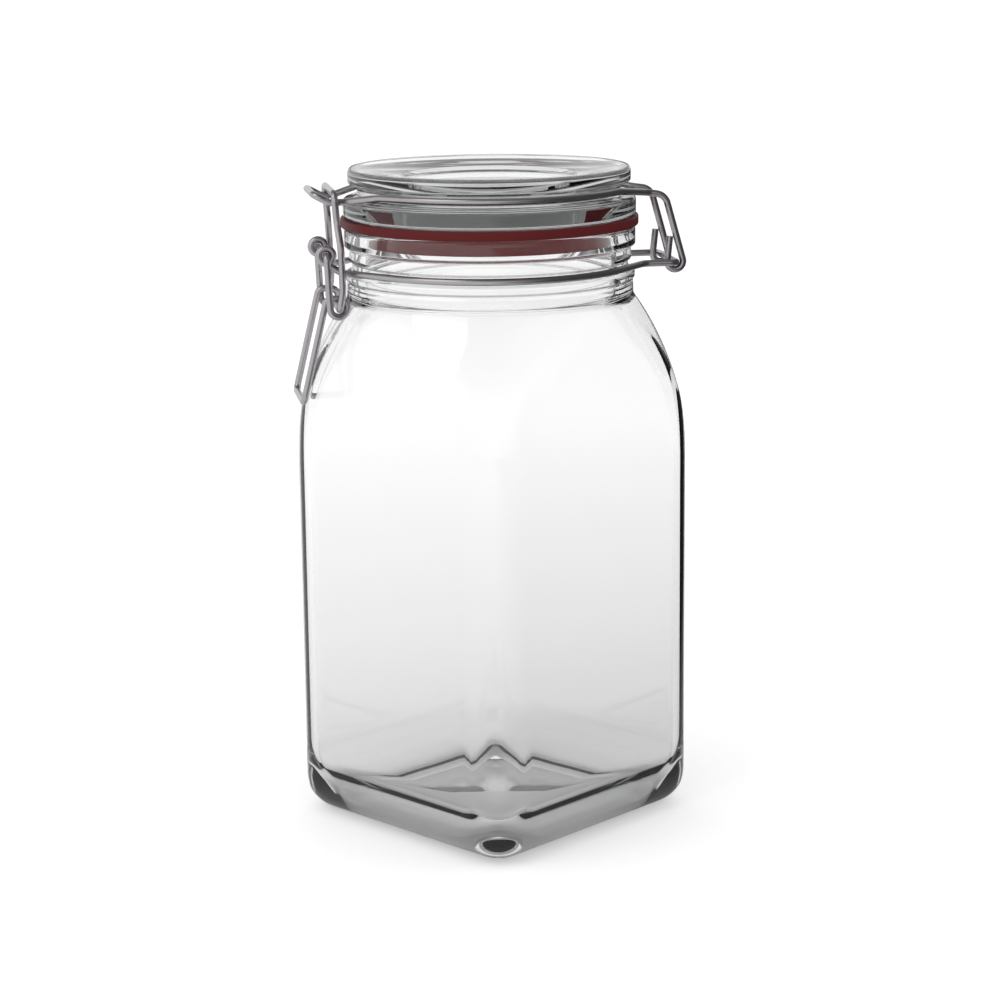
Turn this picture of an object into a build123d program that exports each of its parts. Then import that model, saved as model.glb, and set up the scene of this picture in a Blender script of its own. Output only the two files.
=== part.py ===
"""Square glass canister with a glass lid, a rubber ring and a wire clamp closure.

Millimetres, +Z up, the base centred on the origin and the four flat sides facing X and Y.
"""
import os
from math import acos, asin, atan2, cos, degrees, hypot, radians, sin

from build123d import *

os.makedirs("parts", exist_ok=True)

# ---------------------------------------------------------------- driving dimensions
# jar body
body_side = 99.2
body_corner = 14.2
shoulder_z = 118.0
wall = 4.0
floor_thickness = 5.5

# jar neck and mouth
neck_z = 174.0
neck_height = 22.5
mouth_radius = 40.2
neck_wall = 5.4
rim_wall = 6.8
rim_height = 6.3
bead_wall = 6.6
bead_rise = 5.7
bead_height = 2.2

# rubber ring and lid
ring_overhang = 1.0
ring_thickness = 3.1
flange_height = 6.1
drum_set_in = 1.5
lid_height = 15.4
recess_set_in = 18.5
recess_depth = 3.6
plug_gap = 2.4
plug_depth = 4.5

# closure wires
wire_radius = 1.1
closure_turn = 53.7
neck_wire_rise = 9.8
hinge_overhang = 11.0
hinge_half_width = 13.4
hook_half_width = 10.3
hook_radius = 2.6
hook_stub = 8.0
leg_set_in = 3.4
eye_half_width = 12.3
lever_overhang = 6.4
lever_drop = 7.1
latch_overhang = 3.6
tongue_half_width = 11.5
tongue_overhang = 6.2
tongue_slope = 4.8
tongue_lift = 2.6
link_half_width = 14.3
link_foot_half_width = 17.6
link_bow = 1.8
lever_half_width = 15.0
handle_half_width = 12.5
coil_radius = 2.8
coil_drop = 16.5
coil_gap = 1.86
handle_drop = 46.7
handle_gap = 1.51
back_stand_off = 1.86
front_stand_off = 3.67
tongue_stand_off = 5.94
leg_stand_off = 5.82

# clearances
seat_gap = 0.1
pin_gap = 0.1
latch_gap = 0.85

# ---------------------------------------------------------------- derived places
rim_z = neck_z + neck_height
rim_radius = mouth_radius + rim_wall
neck_radius = mouth_radius + neck_wall
bead_radius = mouth_radius + bead_wall
bead_z = neck_z + bead_rise
neck_wire_z = neck_z + neck_wire_rise
shoulder_end_radius = bead_radius - 0.1 * wall

shoulder_radius = (body_side / 2 - body_corner) * 2**0.5 + body_corner + 0.05
shoulder_rise = neck_z - shoulder_z
shoulder_step = shoulder_radius - shoulder_end_radius
shoulder_arc = (shoulder_step**2 + shoulder_rise**2) / (2 * shoulder_step)
shoulder_centre = shoulder_radius - shoulder_arc
shoulder_end = degrees(asin(shoulder_rise / shoulder_arc))
inner_arc = shoulder_arc - wall
foot_round = 0.95 * body_corner
inner_foot_round = 0.95 * (body_corner - wall)


def shoulder_at(z):
    """Radius of the shoulder's outside at a height above its foot."""
    return shoulder_centre + (shoulder_arc**2 - (z - shoulder_z) ** 2) ** 0.5


ring_outer_radius = rim_radius + ring_overhang
ring_inner_radius = mouth_radius - 4 * seat_gap
flange_radius = ring_outer_radius - 0.8 * ring_overhang
drum_radius = rim_radius - drum_set_in
plug_radius = mouth_radius - plug_gap
boss_radius = ring_inner_radius - seat_gap
recess_radius = drum_radius - recess_set_in
ring_z = rim_z + ring_thickness
lid_top = ring_z + lid_height
flange_z = ring_z + flange_height

lid_wire_z = flange_z + 2.25 * wire_radius
lid_wire_ring = drum_radius - 1.65 * wire_radius
lid_groove = lid_wire_ring - wire_radius - seat_gap
neck_wire_ring = neck_radius + 0.2 * wire_radius
neck_groove = neck_wire_ring - wire_radius - seat_gap
strand_z = flange_z + 0.27 * wire_radius
tight_bend = 2.1 * wire_radius
easy_bend = 4 * wire_radius
long_bend = 12 * wire_radius

hinge_reach = ring_outer_radius + hinge_overhang
lever_pivot = (-(ring_outer_radius + lever_overhang), rim_z - lever_drop)
coil_z = lever_pivot[1] - coil_drop
link_pivot = (-(shoulder_at(coil_z - coil_radius) + coil_gap), coil_z)
latch_bar = (-(ring_outer_radius + latch_overhang), strand_z + 2 * wire_radius + latch_gap)
tongue_reach = tongue_overhang - latch_bar[0]
handle_z = lever_pivot[1] - handle_drop
handle_reach = shoulder_at(handle_z) + handle_gap

turn = radians(closure_turn)
closure = Plane(origin=(0, 0, 0), x_dir=(cos(turn), sin(turn), 0), z_dir=(0, 0, 1))
closure_middle = Plane(origin=(0, 0, 0), x_dir=(cos(turn), sin(turn), 0), z_dir=(-sin(turn), cos(turn), 0))


def around(centre, radius, angle, across):
    """Point on a circle in a plane square to the hinge line; angle 0 is outward at the hinge."""
    return (centre[0] + radius * cos(radians(angle)), across, centre[1] + radius * sin(radians(angle)))


def strand_to(radius, stand_off, half_width):
    """Angle where a straight strand leaves a ring, and its run to a point standing off the ring."""
    reach = hypot(radius + stand_off, half_width)
    angle = degrees(atan2(half_width, radius + stand_off) + acos(radius / reach))
    return angle, (reach**2 - radius**2) ** 0.5


def leaving(radius, angle, side, z, run):
    """Point at a given run along the strand that leaves a ring tangentially at an angle."""
    swing = radians(angle)
    return (side * (radius * cos(swing) + run * sin(swing)), radius * sin(swing) - run * cos(swing), z)


# ---------------------------------------------------------------- jar
# The rounded-square body and every turned feature above it are one intersection, which gives
# each flat side its arched top under the round shoulder.
with BuildPart() as jar:
    with BuildSketch() as footprint:
        RectangleRounded(body_side, body_side, body_corner)
    extrude(amount=neck_z + wall)
    fillet(jar.faces().sort_by(Axis.Z)[0].edges(), radius=foot_round)
    with BuildSketch(Plane.XY.offset(neck_z + wall)) as neck_blank:
        Circle(rim_radius + wall)
    extrude(amount=neck_height - wall)
    with BuildSketch(Plane.XZ) as turned:
        with BuildLine() as outside:
            Polyline((0, 0), (shoulder_radius, 0), (shoulder_radius, shoulder_z))
            shoulder = CenterArc((shoulder_centre, shoulder_z), shoulder_arc, 0, shoulder_end - 2)
            FilletPolyline(
                shoulder @ 1,
                (shoulder_end_radius, neck_z),
                (shoulder_end_radius, bead_z - 0.4 * wall),
                (bead_radius - 0.2 * wall, bead_z - 0.25 * wall),
                (bead_radius - 0.2 * wall, bead_z - 0.1 * wall),
                (bead_radius, bead_z),
                (bead_radius, bead_z + bead_height),
                (neck_groove, neck_wire_z - 1.3 * wire_radius),
                (neck_groove, neck_wire_z + 1.3 * wire_radius),
                (neck_radius, neck_wire_z + 1.7 * wire_radius),
                (neck_radius, rim_z - rim_height - 0.1 * rim_wall),
                (rim_radius, rim_z - rim_height),
                (rim_radius, rim_z),
                (0, rim_z),
                radius=[
                    0.75 * wall,
                    0.1 * wall,
                    0.05 * wall,
                    0.05 * wall,
                    0.1 * wall,
                    0.35 * bead_height,
                    0.45 * wire_radius,
                    0.45 * wire_radius,
                    0.35 * wire_radius,
                    0.12 * rim_wall,
                    0.1 * rim_wall,
                    0.24 * rim_wall,
                ],
            )
            Line((0, rim_z), (0, 0))
        make_face()
    revolve(axis=Axis.Z, mode=Mode.INTERSECT)

with BuildPart() as cavity:
    with BuildSketch(Plane.XY.offset(floor_thickness)) as inside_footprint:
        RectangleRounded(body_side - 2 * wall, body_side - 2 * wall, body_corner - wall)
    extrude(amount=neck_z + wall - floor_thickness)
    fillet(cavity.faces().sort_by(Axis.Z)[0].edges(), radius=inner_foot_round)
    with BuildSketch(Plane.XY.offset(neck_z + wall)) as bore_blank:
        Circle(rim_radius)
    extrude(amount=neck_height)
    with BuildSketch(Plane.XZ) as bore:
        with BuildLine() as inside:
            Polyline((0, 0), (shoulder_radius - wall, 0), (shoulder_radius - wall, shoulder_z))
            hollow = CenterArc(
                (shoulder_centre, shoulder_z),
                inner_arc,
                0,
                degrees(acos((mouth_radius - shoulder_centre) / inner_arc)),
            )
            Polyline(hollow @ 1, (mouth_radius, rim_z + wall), (0, rim_z + wall), (0, 0))
        make_face()
    revolve(axis=Axis.Z, mode=Mode.INTERSECT)

with BuildPart() as hollow_jar:
    add(jar.part)
    add(cavity.part, mode=Mode.SUBTRACT)
    mouth_edge = hollow_jar.edges().filter_by(GeomType.CIRCLE).group_by(Axis.Z)[-1].sort_by(SortBy.RADIUS)[0]
    fillet(mouth_edge, radius=0.3 * wall)

hollow_jar.part.label = "jar"
export_step(hollow_jar.part, "parts/jar.step")

# ---------------------------------------------------------------- lid
# Solid moulded glass: a flange on the rubber ring, a groove that holds the lid wire, a drum with
# a dished top and a flat plug that centres the lid in the mouth.
with BuildPart() as lid:
    with BuildSketch(Plane.XZ) as lid_profile:
        with BuildLine() as lid_outline:
            FilletPolyline(
                (0, rim_z - plug_depth),
                (plug_radius, rim_z - plug_depth),
                (plug_radius, rim_z + 0.12 * ring_thickness),
                (boss_radius, rim_z + 0.25 * ring_thickness),
                (boss_radius, ring_z),
                (flange_radius, ring_z),
                (flange_radius, flange_z),
                (lid_groove + 1.4 * wire_radius, flange_z + 0.36 * wire_radius),
                (lid_groove, flange_z + wire_radius),
                (lid_groove, lid_wire_z + 1.27 * wire_radius),
                (drum_radius, lid_wire_z + 2.1 * wire_radius),
                (drum_radius, lid_top),
                (drum_radius - 0.9 * recess_depth, lid_top),
                (recess_radius + 0.4 * recess_depth, lid_top - 0.67 * recess_depth),
                (recess_radius, lid_top - recess_depth),
                (0, lid_top - recess_depth),
                radius=[
                    0.26 * plug_depth,
                    0.1 * ring_thickness,
                    0.1 * ring_thickness,
                    0.13 * ring_thickness,
                    0.2 * flange_height,
                    0.26 * flange_height,
                    0.36 * wire_radius,
                    0.36 * wire_radius,
                    0.45 * wire_radius,
                    0.6 * wire_radius,
                    0.4 * recess_depth,
                    0.4 * recess_depth,
                    0.28 * recess_depth,
                    0.22 * recess_depth,
                ],
            )
            Line((0, lid_top - recess_depth), (0, rim_z - plug_depth))
        make_face()
    revolve(axis=Axis.Z)

lid.part.label = "lid"
export_step(lid.part, "parts/lid.step")

# ---------------------------------------------------------------- rubber ring
with BuildPart() as gasket:
    with BuildSketch(Plane.XZ) as gasket_section:
        with Locations(((ring_outer_radius + ring_inner_radius) / 2, rim_z + ring_thickness / 2)):
            RectangleRounded(ring_outer_radius - ring_inner_radius, ring_thickness, 0.16 * ring_thickness)
    revolve(axis=Axis.Z)

gasket.part.label = "gasket"
export_step(gasket.part, "parts/gasket.step")

# ---------------------------------------------------------------- neck wire
# One wire clasped round the neck: a straight hinge bar behind, an eye at each front end.
eye_radius = 2 * wire_radius + pin_gap
back_leave, back_run = strand_to(neck_wire_ring, back_stand_off, hinge_half_width)
front_leave, front_run = strand_to(neck_wire_ring, front_stand_off, eye_half_width)
front_meet = leaving(neck_wire_ring, front_leave, -1, neck_wire_z, front_run)
to_eye = (lever_pivot[0] - front_meet[0], lever_pivot[1] - front_meet[2])
eye_entry = degrees(atan2(to_eye[1], to_eye[0]) + asin(eye_radius / hypot(*to_eye))) + 90
eye_exit = eye_entry - 270
eye_end = around(lever_pivot, eye_radius, eye_exit, eye_half_width)
eye_tip = (
    eye_end[0] + 0.9 * wire_radius * sin(radians(eye_exit)),
    eye_half_width,
    eye_end[2] - 0.9 * wire_radius * cos(radians(eye_exit)),
)

with BuildPart() as neck_wire:
    with BuildLine(closure) as neck_path:
        FilletPolyline(
            (hinge_reach, 0, neck_wire_z),
            (hinge_reach, hinge_half_width, neck_wire_z),
            leaving(neck_wire_ring, back_leave, 1, neck_wire_z, back_run),
            leaving(neck_wire_ring, back_leave, 1, neck_wire_z, 0),
            radius=[tight_bend, easy_bend],
        )
        CenterArc((0, 0, neck_wire_z), neck_wire_ring, back_leave, 180 - back_leave - front_leave)
        FilletPolyline(
            leaving(neck_wire_ring, front_leave, -1, neck_wire_z, 0),
            front_meet,
            around(lever_pivot, eye_radius, eye_entry, eye_half_width),
            radius=tight_bend,
        )
        ThreePointArc(
            around(lever_pivot, eye_radius, eye_entry, eye_half_width),
            around(lever_pivot, eye_radius, eye_entry - 135, eye_half_width),
            eye_end,
        )
        Line(eye_end, eye_tip)
    with BuildSketch(Plane(origin=neck_path.line @ 0, z_dir=closure_middle.z_dir)):
        Circle(wire_radius)
    sweep()
    mirror(about=closure_middle)

neck_wire.part.label = "neck_wire"
export_step(neck_wire.part, "parts/neck_wire.step")

# ---------------------------------------------------------------- lid wire
# One wire round the lid's groove: a turned-up tongue over the clasp, and two legs behind that
# hook round the hinge bar and end in short upright stubs.
tongue_leave, tongue_run = strand_to(lid_wire_ring, tongue_stand_off, tongue_half_width)
leg_leave, leg_run_out = strand_to(lid_wire_ring, leg_stand_off, hook_half_width)
leg_top = (hinge_reach - leg_set_in, strand_z - 0.5 * wire_radius)
leg_run = (hinge_reach - leg_top[0], leg_top[1] - neck_wire_z)
hook_entry = degrees(atan2(*leg_run) + asin(hook_radius / hypot(*leg_run)))
hinge = (hinge_reach, neck_wire_z)
hook_exit = 174 - 360
hook_end = around(hinge, hook_radius, hook_exit, hook_half_width)
stub_end = (
    hook_end[0] + hook_stub * sin(radians(hook_exit)),
    hook_half_width,
    hook_end[2] - hook_stub * cos(radians(hook_exit)),
)

with BuildPart() as lid_wire:
    with BuildLine(closure) as lid_path:
        FilletPolyline(
            (-tongue_reach, 0, strand_z + tongue_lift),
            (-tongue_reach, tongue_half_width, strand_z + tongue_lift),
            (tongue_slope - tongue_reach, tongue_half_width, strand_z),
            leaving(lid_wire_ring, tongue_leave, -1, strand_z, tongue_run),
            leaving(lid_wire_ring, tongue_leave, -1, lid_wire_z, 0.38 * tongue_run),
            leaving(lid_wire_ring, tongue_leave, -1, lid_wire_z, 0),
            radius=[tight_bend, 0.8 * easy_bend, 0.8 * easy_bend, long_bend],
        )
        CenterArc((0, 0, lid_wire_z), lid_wire_ring, leg_leave, 180 - leg_leave - tongue_leave)
        FilletPolyline(
            leaving(lid_wire_ring, leg_leave, 1, lid_wire_z, 0),
            leaving(lid_wire_ring, leg_leave, 1, lid_wire_z, 0.32 * leg_run_out),
            leaving(lid_wire_ring, leg_leave, 1, strand_z + 0.27 * wire_radius, leg_run_out),
            (leg_top[0], hook_half_width, leg_top[1]),
            around(hinge, hook_radius, hook_entry, hook_half_width),
            radius=[long_bend, 0.9 * easy_bend, easy_bend],
        )
        ThreePointArc(
            around(hinge, hook_radius, hook_entry, hook_half_width),
            around(hinge, hook_radius, (hook_entry + hook_exit) / 2, hook_half_width),
            hook_end,
        )
        Line(hook_end, stub_end)
    with BuildSketch(Plane(origin=lid_path.line @ 0, z_dir=closure_middle.z_dir)):
        Circle(wire_radius)
    sweep()
    mirror(about=closure_middle)

lid_wire.part.label = "lid_wire"
export_step(lid_wire.part, "parts/lid_wire.step")

# ---------------------------------------------------------------- lever
# Pins turned in through the neck wire's eyes, a coil in each side for the link, and the handle.
coil_run = (link_pivot[0] - lever_pivot[0], link_pivot[1] - lever_pivot[1])
coil_entry = degrees(atan2(coil_run[1], coil_run[0]) - asin(coil_radius / hypot(*coil_run))) + 270
coil_exit = 450
coil_steps = 16
coil_points = []
for step in range(coil_steps + 1):
    share = step / coil_steps
    shift = share * share * (3 - 2 * share)
    coil_points.append(
        around(
            link_pivot,
            coil_radius,
            coil_exit + (coil_entry - coil_exit) * share,
            handle_half_width + (lever_half_width - handle_half_width) * shift,
        )
    )

with BuildPart() as lever:
    with BuildLine(closure) as lever_path:
        FilletPolyline(
            (-handle_reach, 0, handle_z),
            (-handle_reach, handle_half_width, handle_z),
            (link_pivot[0] - 1.3 * coil_radius, handle_half_width, link_pivot[1] + coil_radius),
            coil_points[0],
            radius=[tight_bend, 0.8 * coil_radius],
        )
        Spline(*coil_points)
        FilletPolyline(
            coil_points[-1],
            (lever_pivot[0], lever_half_width, lever_pivot[1]),
            (lever_pivot[0], eye_half_width - 1.8 * wire_radius, lever_pivot[1]),
            radius=1.35 * wire_radius,
        )
    with BuildSketch(Plane(origin=lever_path.line @ 0, z_dir=closure_middle.z_dir)):
        Circle(wire_radius)
    sweep()
    mirror(about=closure_middle)

lever.part.label = "lever"
export_step(lever.part, "parts/lever.step")

# ---------------------------------------------------------------- link
# A loop over the tongue whose feet turn in through the lever's coils.
link_length = latch_bar[1] - link_pivot[1]

with BuildPart() as link:
    with BuildLine(closure) as link_path:
        FilletPolyline(
            (latch_bar[0], 0, latch_bar[1]),
            (latch_bar[0], link_half_width, latch_bar[1]),
            (latch_bar[0] + 0.4 * link_bow, link_half_width, latch_bar[1] - 0.26 * link_length),
            (latch_bar[0] + 0.8 * link_bow, link_foot_half_width, latch_bar[1] - 0.47 * link_length),
            (latch_bar[0] + link_bow, link_foot_half_width, link_pivot[1] + 0.14 * link_length),
            (link_pivot[0], link_foot_half_width, link_pivot[1]),
            (link_pivot[0], handle_half_width - 1.8 * wire_radius, link_pivot[1]),
            radius=[tight_bend, 1.8 * easy_bend, 1.8 * easy_bend, 1.5 * long_bend, 1.35 * wire_radius],
        )
    with BuildSketch(Plane(origin=link_path.line @ 0, z_dir=closure_middle.z_dir)):
        Circle(wire_radius)
    sweep()
    mirror(about=closure_middle)

link.part.label = "link"
export_step(link.part, "parts/link.step")
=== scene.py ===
from math import acos, cos, pi, radians, sin, sqrt, tan

import bpy
from mathutils import Matrix, Vector


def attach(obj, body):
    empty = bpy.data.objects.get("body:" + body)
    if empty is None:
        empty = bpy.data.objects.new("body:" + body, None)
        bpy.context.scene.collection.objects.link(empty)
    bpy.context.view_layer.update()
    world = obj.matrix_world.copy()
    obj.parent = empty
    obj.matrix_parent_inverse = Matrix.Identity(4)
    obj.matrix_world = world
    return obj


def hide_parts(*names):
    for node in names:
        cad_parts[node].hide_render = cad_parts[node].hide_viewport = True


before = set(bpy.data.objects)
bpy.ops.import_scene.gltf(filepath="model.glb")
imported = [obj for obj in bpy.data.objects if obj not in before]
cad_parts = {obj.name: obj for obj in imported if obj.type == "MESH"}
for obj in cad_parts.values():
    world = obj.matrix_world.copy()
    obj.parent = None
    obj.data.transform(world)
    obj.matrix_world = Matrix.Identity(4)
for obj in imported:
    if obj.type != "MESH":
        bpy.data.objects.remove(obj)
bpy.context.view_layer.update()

# ---------------------------------------------------------------- jar
# Clear soda-lime glass, pressed and blown in one piece: a square body with softened corners, a
# round shoulder that leaves arched tops on the flat sides, and a ringed neck with a rolled rim.
# The inner floor is a shallow bowl and the underside is domed a little, so the foot is a frame.
body_half = 0.0496
body_corner = 0.0142
wall = 0.004
edge_ease = 0.003
foot_round = 0.0135
foot_dome = 0.0018
foot_dome_share = 0.8
floor_top = 0.0041
floor_dome = 0.0014
bowl_width = 0.018
bowl_height = 0.018
bowl_corner_gain = 0.35
shoulder_z = 0.118
shoulder_radius = (body_half - body_corner) * sqrt(2) + body_corner + 0.00005
neck_z = 0.174
neck_meet = 0.0464
neck_radius = 0.0456
neck_dip = 0.0459
neck_groove = 0.0446
bead_radius = 0.0468
rim_radius = 0.0470
rim_z = 0.1965
mouth_radius = 0.0402
jar_around = 288
no_limit = 1

shoulder_step = shoulder_radius - neck_meet
shoulder_arc = (shoulder_step**2 + (neck_z - shoulder_z) ** 2) / (2 * shoulder_step)
shoulder_centre = shoulder_radius - shoulder_arc


def rounded_square(angle, half, corner):
    """Distance from the axis to a rounded square's edge, in the direction of an angle."""
    turned = (angle + pi / 4) % (pi / 2) - pi / 4
    across = half * tan(abs(turned))
    if across <= half - corner:
        return half / cos(turned)
    centre = (half - corner) * sqrt(2)
    off = pi / 4 - abs(turned)
    return centre * cos(off) + sqrt(corner**2 - (centre * sin(off)) ** 2)


def soft_min(a, b, blend):
    """The smaller of two radii, eased over a short blend so that a moulded edge is soft."""
    h = max(blend - abs(a - b), 0) / blend
    return min(a, b) - h * h * blend / 4


def rounded_path(points, radii, steps=6):
    """A turned profile: straight runs joined by arcs of the given radii."""
    path = [Vector(points[0])]
    for before, at, after, radius in zip(points, points[1:], points[2:], radii):
        at = Vector(at)
        back = (Vector(before) - at).normalized()
        on = (Vector(after) - at).normalized()
        half = acos(max(-1, min(1, back.dot(on)))) / 2
        if radius == 0 or half > pi / 2 - 0.01:
            path.append(at)
            continue
        reach = radius / tan(half)
        centre = at + (back + on).normalized() * radius / sin(half)
        start = at + back * reach - centre
        end = at + on * reach - centre
        sweep = start.angle_signed(end)
        for i in range(steps + 1):
            part = start.copy()
            part.rotate(Matrix.Rotation(-sweep * i / steps, 2))
            path.append(centre + part)
    path.append(Vector(points[-1]))
    return path


def smooth_piece(name, verts, faces):
    """A smooth-shaded object from points and faces."""
    mesh = bpy.data.meshes.new(name)
    mesh.from_pydata(verts, [], faces)
    mesh.polygons.foreach_set("use_smooth", [True] * len(mesh.polygons))
    mesh.update()
    piece = bpy.data.objects.new(name, mesh)
    bpy.context.scene.collection.objects.link(piece)
    return piece


def closed_of_rings(name, rings, around):
    """A closed skin from rings of points; the first and last rings close on the axis."""
    verts, faces = [], []
    for ring in rings:
        verts.extend(ring)
    count = len(rings)
    for i in range(count - 1):
        for j in range(around):
            k = (j + 1) % around
            faces.append((i * around + j, i * around + k, (i + 1) * around + k, (i + 1) * around + j))
    for i, last in ((0, False), (count - 1, True)):
        centre = len(verts)
        verts.append((0, 0, rings[i][0][2]))
        for j in range(around):
            k = (j + 1) % around
            a, b = i * around + j, i * around + k
            faces.append((a, b, centre) if last else (b, a, centre))
    return smooth_piece(name, verts, faces)


def shoulder_at(z, inset):
    """Radius of the round shoulder, or of the hollow that follows it inside the wall."""
    rise = max(z - shoulder_z, 0)
    return shoulder_centre + sqrt(max((shoulder_arc - inset) ** 2 - rise**2, 0))


neck = rounded_path(
    [
        (neck_meet, neck_z),
        (0.0463, 0.1781),
        (neck_dip, 0.1787),
        (neck_dip, 0.1793),
        (bead_radius, 0.1797),
        (bead_radius, 0.1819),
        (neck_groove, 0.1824),
        (neck_groove, 0.1852),
        (neck_radius, 0.1857),
        (neck_radius, 0.1897),
        (rim_radius, 0.1902),
        (rim_radius, rim_z),
        (mouth_radius, rim_z),
        (mouth_radius, 0.184),
    ],
    [0.0005, 0.0003, 0.0003, 0.0005, 0.0008, 0.0005, 0.0005, 0.0004, 0.0008, 0.0007, 0.0016, 0.0013],
)


def jar_rings():
    """Rings from under the base, up the outside, over the rim and down to the inner floor."""
    angles = [2 * pi * j / jar_around for j in range(jar_around)]
    rings = []

    def add(half, corner, limit, z, share=1, lift=0):
        ring = []
        for a in angles:
            r = soft_min(rounded_square(a, half, corner), limit, edge_ease) * share
            ring.append((r * cos(a), r * sin(a), z + lift))
        rings.append(ring)

    inner_half = body_half - wall
    inner_corner = body_corner - wall
    foot = body_half - foot_round
    for share in (0.06, 0.14, 0.22, 0.3, 0.38, 0.46, 0.54, 0.6, 0.66, 0.72, 0.78):
        lift = foot_dome * cos(share / foot_dome_share * pi / 2) ** 2
        add(foot, body_corner - foot_round, no_limit, 0, share, lift)
    for share in (0.84, 0.92):
        add(foot, body_corner - foot_round, no_limit, 0, share)
    for i in range(25):
        a = pi / 2 * i / 24
        inset = foot_round * (1 - sin(a))
        add(body_half - inset, body_corner - inset, shoulder_radius, foot_round * (1 - cos(a)))
    for i in range(1, 12):
        add(body_half, body_corner, shoulder_radius, foot_round + (shoulder_z - foot_round) * i / 12)
    for i in range(41):
        z = shoulder_z + (neck_z - shoulder_z) * i / 40
        add(body_half, body_corner, shoulder_at(z, 0), z)
    for r, z in neck[1:]:
        add(body_half, body_corner, r, z)
    hollow_end = shoulder_z + sqrt((shoulder_arc - wall) ** 2 - (mouth_radius - shoulder_centre) ** 2)
    for i in range(41):
        z = hollow_end + (shoulder_z - hollow_end) * i / 40
        add(inner_half, inner_corner, shoulder_at(z, wall), z)
    for i in range(1, 12):
        z = shoulder_z + (floor_top + bowl_height - shoulder_z) * i / 12
        add(inner_half, inner_corner, shoulder_radius - wall, z)
    for i in range(33):
        a = pi / 2 * i / 32
        inset = bowl_width * (1 - cos(a))
        z = floor_top + bowl_height * (1 - sin(a))
        add(inner_half - inset, inner_corner + bowl_corner_gain * inset, shoulder_radius - wall, z)
    pad = inner_half - bowl_width
    for share in (0.96, 0.9, 0.84, 0.78, 0.72, 0.66, 0.6, 0.54, 0.46, 0.38, 0.3, 0.22, 0.14, 0.06):
        lift = floor_dome * cos(share * pi / 2) ** 2
        add(pad, inner_corner + bowl_corner_gain * bowl_width, no_limit, floor_top, share, lift)
    return rings


jar = closed_of_rings("jar_glass", jar_rings(), jar_around)


def clear_glass(name, tint, density):
    """Clear glass whose thick edges look greyer than its faces, because it absorbs a little."""
    material = bpy.data.materials.new(name)
    material.use_nodes = True
    tree = material.node_tree
    shader = tree.nodes["Principled BSDF"]
    shader.inputs["Base Color"].default_value = (1, 1, 1, 1)
    shader.inputs["Roughness"].default_value = 0.0
    shader.inputs["IOR"].default_value = 1.5
    shader.inputs["Transmission Weight"].default_value = 1.0
    soak = tree.nodes.new("ShaderNodeVolumeAbsorption")
    soak.inputs["Color"].default_value = tint
    soak.inputs["Density"].default_value = density
    tree.links.new(soak.outputs["Volume"], tree.nodes["Material Output"].inputs["Volume"])
    return material


jar.data.materials.append(clear_glass("jar_glass", (0.9, 0.905, 0.903, 1), 75))
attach(jar, "base")
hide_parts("jar")

# ---------------------------------------------------------------- lid
# Pressed glass, thick and turned: a flange that bears on the rubber ring, a groove for its wire,
# a drum with a shallow dish in its top, and a flat plug below that centres it in the mouth.
axis_gap = 0.0005
plug_z = 0.1920
plug_radius = 0.0378
boss_radius = 0.0397
ring_z = 0.1996
flange_radius = 0.0472
lid_groove = 0.0425
drum_radius = 0.0455
lid_top = 0.2150
dish_z = 0.2114
lid_around = 256

lid_profile = rounded_path(
    [
        (axis_gap, plug_z),
        (plug_radius, plug_z),
        (plug_radius, 0.1969),
        (boss_radius, 0.1973),
        (boss_radius, ring_z),
        (flange_radius, ring_z),
        (flange_radius, 0.2057),
        (0.0440, 0.2061),
        (lid_groove, 0.2068),
        (lid_groove, 0.2096),
        (drum_radius, 0.2105),
        (drum_radius, lid_top),
        (0.0423, lid_top),
        (0.0284, 0.2126),
        (0.0270, dish_z),
        (axis_gap, dish_z),
    ],
    [0.0012, 0.0003, 0.0003, 0.0004, 0.0012, 0.0016, 0.0004]
    + [0.0004, 0.0005, 0.0007, 0.0014, 0.0014, 0.001, 0.0008],
)


def turned_rings(profile, around):
    """Rings of a turned piece, from its profile of radius and height."""
    angles = [2 * pi * j / around for j in range(around)]
    return [[(r * cos(a), r * sin(a), z) for a in angles] for r, z in profile]


lid = closed_of_rings("lid_glass", turned_rings(lid_profile, lid_around), lid_around)
lid.data.materials.append(clear_glass("lid_glass", (0.9, 0.904, 0.902, 1), 60))
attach(lid, "lid")
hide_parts("lid")

# ---------------------------------------------------------------- lid's beads
# A ring of fine raised beads pressed into the glass along the top edge of the lid's drum. They
# stop a jar that is stacked on top from sliding.
bead_ring_radius = 0.0446
bead_size = 0.0005
bead_count = 230
bead_ring_z = 0.2147

bead_tree = bpy.data.node_groups.new("ring_of_beads", "GeometryNodeTree")
for label, kind in (
    ("Ring Radius", "NodeSocketFloat"),
    ("Bead Radius", "NodeSocketFloat"),
    ("Count", "NodeSocketInt"),
    ("Height", "NodeSocketFloat"),
    ("Glass", "NodeSocketMaterial"),
):
    bead_tree.interface.new_socket(label, in_out="INPUT", socket_type=kind)
bead_tree.interface.new_socket("Geometry", in_out="OUTPUT", socket_type="NodeSocketGeometry")
given = bead_tree.nodes.new("NodeGroupInput")
result = bead_tree.nodes.new("NodeGroupOutput")
track = bead_tree.nodes.new("GeometryNodeMeshCircle")
bead_tree.links.new(given.outputs["Count"], track.inputs["Vertices"])
bead_tree.links.new(given.outputs["Ring Radius"], track.inputs["Radius"])
ball = bead_tree.nodes.new("GeometryNodeMeshIcoSphere")
ball.inputs["Subdivisions"].default_value = 2
bead_tree.links.new(given.outputs["Bead Radius"], ball.inputs["Radius"])
spread = bead_tree.nodes.new("GeometryNodeInstanceOnPoints")
bead_tree.links.new(track.outputs["Mesh"], spread.inputs["Points"])
bead_tree.links.new(ball.outputs["Mesh"], spread.inputs["Instance"])
raised = bead_tree.nodes.new("ShaderNodeCombineXYZ")
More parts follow.
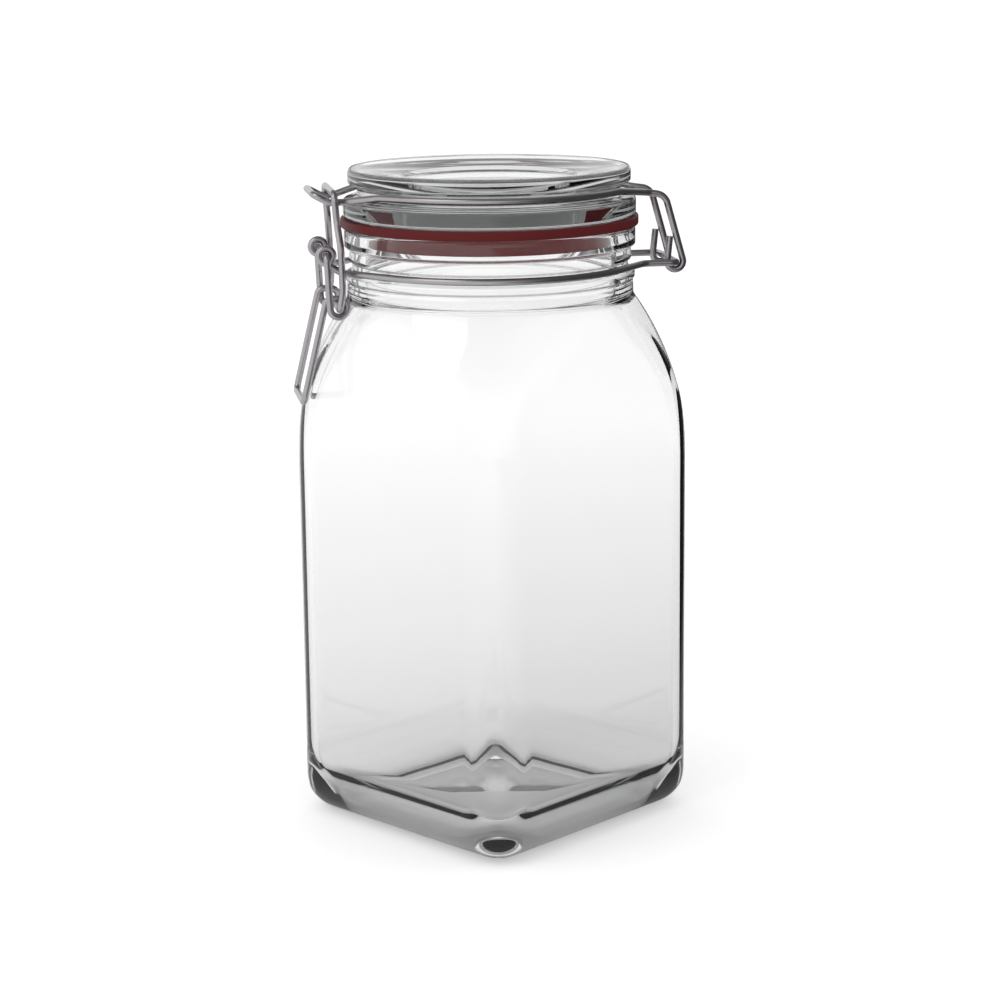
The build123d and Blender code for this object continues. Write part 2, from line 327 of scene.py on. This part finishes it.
bead_tree.links.new(given.outputs["Height"], raised.inputs["Z"])
lifted = bead_tree.nodes.new("GeometryNodeTranslateInstances")
bead_tree.links.new(spread.outputs["Instances"], lifted.inputs["Instances"])
bead_tree.links.new(raised.outputs["Vector"], lifted.inputs["Translation"])
solid = bead_tree.nodes.new("GeometryNodeRealizeInstances")
bead_tree.links.new(lifted.outputs["Instances"], solid.inputs["Geometry"])
smooth = bead_tree.nodes.new("GeometryNodeSetShadeSmooth")
bead_tree.links.new(solid.outputs["Geometry"], smooth.inputs["Geometry"])
glazed = bead_tree.nodes.new("GeometryNodeSetMaterial")
bead_tree.links.new(smooth.outputs["Geometry"], glazed.inputs["Geometry"])
bead_tree.links.new(given.outputs["Glass"], glazed.inputs["Material"])
bead_tree.links.new(glazed.outputs["Geometry"], result.inputs["Geometry"])

seed = bpy.data.objects.new("bead_seed", bpy.data.meshes.new("bead_seed"))
bpy.context.scene.collection.objects.link(seed)
maker = seed.modifiers.new("beads", "NODES")
maker.node_group = bead_tree
socket = {item.name: item.identifier for item in bead_tree.interface.items_tree if item.in_out == "INPUT"}
maker[socket["Ring Radius"]] = bead_ring_radius
maker[socket["Bead Radius"]] = bead_size
maker[socket["Count"]] = bead_count
maker[socket["Height"]] = bead_ring_z
maker[socket["Glass"]] = lid.data.materials[0]
bpy.context.view_layer.update()
made = seed.evaluated_get(bpy.context.evaluated_depsgraph_get())
bead_mesh = bpy.data.meshes.new_from_object(made)
seed.modifiers.clear()
bpy.data.objects.remove(seed)
beads = bpy.data.objects.new("lid_beads", bead_mesh)
bpy.context.scene.collection.objects.link(beads)
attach(beads, "lid")

# ---------------------------------------------------------------- rubber ring
# Moulded natural rubber, dyed dark red, with a satin skin. It is pressed between the lid's flange
# and the jar's rim, and a thin soft lip of it hangs round the lid's plug inside the mouth. The
# faces turned to the plug are chalked. The lip's other faces are painted a brighter red than the
# ring: painted light, which lifts the lip out of the shade it lies in inside the mouth.
ring_outer = 0.0480
ring_inner = 0.0398
ring_top = 0.1995
lip_outer = 0.0395
lip_inner = 0.0379
lip_foot = 0.1911
ring_middle = 0.0439
lip_limit = 0.0399

ring_profile = rounded_path(
    [
        (ring_middle, rim_z),
        (ring_outer, rim_z),
        (ring_outer, ring_top),
        (ring_inner, ring_top),
        (ring_inner, 0.1974),
        (lip_inner, 0.1970),
        (lip_inner, lip_foot),
        (lip_outer, lip_foot),
        (lip_outer, 0.1961),
        (mouth_radius, rim_z),
        (ring_middle, rim_z),
    ],
    [0.0005, 0.0005, 0.0003, 0.0002, 0.0002, 0.0005, 0.0005, 0.0003, 0.0002],
)


def turned_band(name, profile, around):
    """A closed turned ring, such as a seal, from a closed profile."""
    rows = turned_rings(profile[:-1], around)
    verts, faces = [], []
    for ring in rows:
        verts.extend(ring)
    count = len(rows)
    for i in range(count):
        for j in range(around):
            k = (j + 1) % around
            n = (i + 1) % count
            faces.append((i * around + j, i * around + k, n * around + k, n * around + j))
    return smooth_piece(name, verts, faces)


def plain_finish(name, colour, roughness, specular=0.5, metallic=0.0):
    """A plain surface of one colour."""
    material = bpy.data.materials.new(name)
    material.use_nodes = True
    skin = material.node_tree.nodes["Principled BSDF"]
    skin.inputs["Base Color"].default_value = colour
    skin.inputs["Roughness"].default_value = roughness
    skin.inputs["Specular IOR Level"].default_value = specular
    skin.inputs["Metallic"].default_value = metallic
    return material


ring = turned_band("rubber_ring", ring_profile, lid_around)
ring.data.materials.append(plain_finish("red_rubber", (0.1, 0.007, 0.008, 1), 0.5, 0.2))
ring.data.materials.append(plain_finish("chalked_rubber", (0.85, 0.86, 0.85, 1), 0.9, 0.1))
# The lip's brighter red is painted light: the same rubber, lifted out of the shade inside the mouth.
ring.data.materials.append(plain_finish("lip_rubber_painted_light", (0.19, 0.007, 0.009, 1), 0.6, 0.1))
for face in ring.data.polygons:
    out = Vector((face.center.x, face.center.y, 0))
    if out.length < lip_limit:
        face.material_index = 1 if face.normal.dot(out.normalized()) < -0.3 else 2
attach(ring, "lid")
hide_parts("gasket")

# ---------------------------------------------------------------- clamp wires
# Drawn steel wire, bright-finished and slightly dulled: the neck wire, the lid wire, the lever
# and the link, each bent from one length.
steel = plain_finish("drawn_steel", (0.44, 0.42, 0.44, 1), 0.28, metallic=1.0)
for name in ("neck_wire", "lid_wire", "lever", "link"):
    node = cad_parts[name]
    node.data.materials.clear()
    node.data.materials.append(steel)

# ---------------------------------------------------------------- studio's dark side
# The studio's dark side, a black panel that is not built but painted as a reflection: for glossy
# rays only, the floor's colour and the walls' go near black on that side, and what is seen through
# the glass does not show it.
dark_side_way = (0.7166, 0.6975, 0)

panel = bpy.data.node_groups.new("dark_side", "ShaderNodeTree")
for label, kind in (
    ("Place", "NodeSocketVector"),
    ("From", "NodeSocketFloat"),
    ("To", "NodeSocketFloat"),
):
    panel.interface.new_socket(label, in_out="INPUT", socket_type=kind)
panel.interface.new_socket("Share", in_out="OUTPUT", socket_type="NodeSocketFloat")
asked = panel.nodes.new("NodeGroupInput")
answer = panel.nodes.new("NodeGroupOutput")
toward = panel.nodes.new("ShaderNodeVectorMath")
toward.operation = "DOT_PRODUCT"
toward.inputs[1].default_value = dark_side_way
panel.links.new(asked.outputs["Place"], toward.inputs[0])
nearness = panel.nodes.new("ShaderNodeMapRange")
panel.links.new(toward.outputs["Value"], nearness.inputs["Value"])
panel.links.new(asked.outputs["From"], nearness.inputs["From Min"])
panel.links.new(asked.outputs["To"], nearness.inputs["From Max"])
ray = panel.nodes.new("ShaderNodeLightPath")
reflected = panel.nodes.new("ShaderNodeMath")
reflected.operation = "SUBTRACT"
reflected.use_clamp = True
panel.links.new(ray.outputs["Is Glossy Ray"], reflected.inputs[0])
panel.links.new(ray.outputs["Is Transmission Ray"], reflected.inputs[1])
mirrored = panel.nodes.new("ShaderNodeMath")
mirrored.operation = "MULTIPLY"
panel.links.new(reflected.outputs[0], mirrored.inputs[0])
panel.links.new(nearness.outputs["Result"], mirrored.inputs[1])
panel.links.new(mirrored.outputs[0], answer.inputs["Share"])


def dark_share(tree, place, start, end):
    """How much of the panel is reflected: none before start along its way, all of it after end."""
    share = tree.nodes.new("ShaderNodeGroup")
    share.node_tree = panel
    share.inputs["From"].default_value = start
    share.inputs["To"].default_value = end
    tree.links.new(place, share.inputs["Place"])
    return share.outputs["Share"]


# ---------------------------------------------------------------- floor
# A wide white sweep. It is lit a little from within where the camera sees it bare. Where it is
# seen through the glass it glows with painted light: it brightens with distance, leaving painted
# shade round the jar, and brightens right under the jar as a painted pool of light through the glass.
floor_half = 9
painted_glow_centre = (0.07, 0.07, 0)
bare_lift = 0.3

floor_mesh = bpy.data.meshes.new("floor")
floor_corners = [(x * floor_half, y * floor_half, 0) for x, y in ((-1, -1), (1, -1), (1, 1), (-1, 1))]
floor_mesh.from_pydata(floor_corners, [], [(0, 1, 2, 3)])
floor = bpy.data.objects.new("floor", floor_mesh)
bpy.context.scene.collection.objects.link(floor)
white = plain_finish("white_sweep", (0.8, 0.8, 0.8, 1), 1.0, 0.0)
sweep = white.node_tree
cloth = sweep.nodes["Principled BSDF"]
cloth.inputs["Emission Color"].default_value = (1, 1, 1, 1)
place = sweep.nodes.new("ShaderNodeTexCoord")
path = sweep.nodes.new("ShaderNodeLightPath")

# Painted reflection: for glossy rays only, the floor's colour goes near black on the dark side.
colour = sweep.nodes.new("ShaderNodeMixRGB")
colour.inputs["Color1"].default_value = (0.8, 0.8, 0.8, 1)
colour.inputs["Color2"].default_value = (0.06, 0.06, 0.06, 1)
sweep.links.new(dark_share(sweep, place.outputs["Object"], 0.02, 0.25), colour.inputs["Fac"])
sweep.links.new(colour.outputs["Color"], cloth.inputs["Base Color"])


def eased(distance, near, far, at_near, at_far):
    """A strength that goes from one value to another between two distances."""
    ease = sweep.nodes.new("ShaderNodeMapRange")
    ease.inputs["From Min"].default_value = near
    ease.inputs["From Max"].default_value = far
    ease.inputs["To Min"].default_value = at_near
    ease.inputs["To Max"].default_value = at_far
    sweep.links.new(distance, ease.inputs["Value"])
    return ease.outputs["Result"]


# Painted light and shade for what is seen through the glass: the glow grows with distance from a point
# beside the jar, and a painted pool of light lies right under the jar.
from_jar = sweep.nodes.new("ShaderNodeVectorMath")
from_jar.operation = "DISTANCE"
from_jar.inputs[1].default_value = painted_glow_centre
sweep.links.new(place.outputs["Object"], from_jar.inputs[0])
under = sweep.nodes.new("ShaderNodeVectorMath")
under.operation = "LENGTH"
sweep.links.new(place.outputs["Object"], under.inputs[0])
seen_through = sweep.nodes.new("ShaderNodeMath")
seen_through.operation = "ADD"
sweep.links.new(eased(from_jar.outputs["Value"], 0.16, 0.7, 0.0, 0.26), seen_through.inputs[0])
sweep.links.new(eased(under.outputs["Value"], 0.035, 0.08, 0.2, 0.0), seen_through.inputs[1])
glass_lift = sweep.nodes.new("ShaderNodeMath")
glass_lift.operation = "MULTIPLY"
sweep.links.new(path.outputs["Is Transmission Ray"], glass_lift.inputs[0])
sweep.links.new(seen_through.outputs[0], glass_lift.inputs[1])
lift = sweep.nodes.new("ShaderNodeMath")
lift.operation = "MULTIPLY_ADD"
lift.inputs[1].default_value = bare_lift
sweep.links.new(path.outputs["Is Camera Ray"], lift.inputs[0])
sweep.links.new(glass_lift.outputs[0], lift.inputs[2])
sweep.links.new(lift.outputs[0], cloth.inputs["Emission Strength"])
floor_mesh.materials.append(white)

# ---------------------------------------------------------------- room and lamp
# White walls under a dark ceiling, which shows only in reflections and in what the glass bends,
# and one large soft box in front.
ceiling_start = 0.30
ceiling_end = 0.66

world = bpy.data.worlds.new("studio")
bpy.context.scene.world = world
world.use_nodes = True
room = world.node_tree
sky = room.nodes["Background"]
place = room.nodes.new("ShaderNodeTexCoord")
parts = room.nodes.new("ShaderNodeSeparateXYZ")
room.links.new(place.outputs["Generated"], parts.inputs[0])
ceiling = room.nodes.new("ShaderNodeValToRGB")
ceiling.color_ramp.elements[0].position = ceiling_start
ceiling.color_ramp.elements[0].color = (1, 1, 1, 1)
ceiling.color_ramp.elements[1].position = ceiling_end
ceiling.color_ramp.elements[1].color = (0.25, 0.25, 0.25, 1)
room.links.new(parts.outputs["Z"], ceiling.inputs["Fac"])
path = room.nodes.new("ShaderNodeLightPath")
bent = room.nodes.new("ShaderNodeMath")
bent.operation = "MAXIMUM"
room.links.new(path.outputs["Is Glossy Ray"], bent.inputs[0])
room.links.new(path.outputs["Is Transmission Ray"], bent.inputs[1])
walls = room.nodes.new("ShaderNodeMixRGB")
walls.inputs["Color1"].default_value = (1, 1, 1, 1)
room.links.new(bent.outputs[0], walls.inputs["Fac"])
room.links.new(ceiling.outputs["Color"], walls.inputs["Color2"])
with_panel = room.nodes.new("ShaderNodeMixRGB")
with_panel.inputs["Color2"].default_value = (0.08, 0.08, 0.08, 1)
room.links.new(dark_share(room, place.outputs["Generated"], 0.1, 0.7), with_panel.inputs["Fac"])
room.links.new(walls.outputs["Color"], with_panel.inputs["Color1"])
room.links.new(with_panel.outputs["Color"], sky.inputs["Color"])
sky.inputs["Strength"].default_value = 1.0

lamp_data = bpy.data.lights.new("soft_box", "AREA")
lamp_data.shape = "DISK"
lamp_data.size = 0.9
lamp_data.energy = 3
lamp = bpy.data.objects.new("soft_box", lamp_data)
lamp.location = (-0.1, -0.9, 1.1)
lamp.rotation_euler = (Vector((0, 0, 0.1)) - lamp.location).to_track_quat("-Z", "Y").to_euler()
bpy.context.scene.collection.objects.link(lamp)

# ---------------------------------------------------------------- camera
# It stands off the body's corner, a little above the lid, and looks slightly down.
camera_turn = 44.23
camera_reach = 0.82927
camera_height = 0.29207
camera_pan = 0.168
camera_pitch = 12.70
camera_roll = 0.623
camera_lens = 92.66

scene = bpy.context.scene
scene.view_settings.view_transform = "Standard"
camera_data = bpy.data.cameras.new("camera")
camera_data.sensor_width = 36
camera_data.lens = camera_lens
camera_data.clip_start = 0.01
camera = bpy.data.objects.new("camera", camera_data)
scene.collection.objects.link(camera)
turn = radians(camera_turn)
stand = Vector((camera_reach * sin(turn), -camera_reach * cos(turn), camera_height))
aim = (
    Matrix.Rotation(radians(camera_turn - camera_pan), 4, "Z")
    @ Matrix.Rotation(radians(90 - camera_pitch), 4, "X")
    @ Matrix.Rotation(radians(-camera_roll), 4, "Z")
)
camera.matrix_world = Matrix.Translation(stand) @ aim
scene.camera = camera
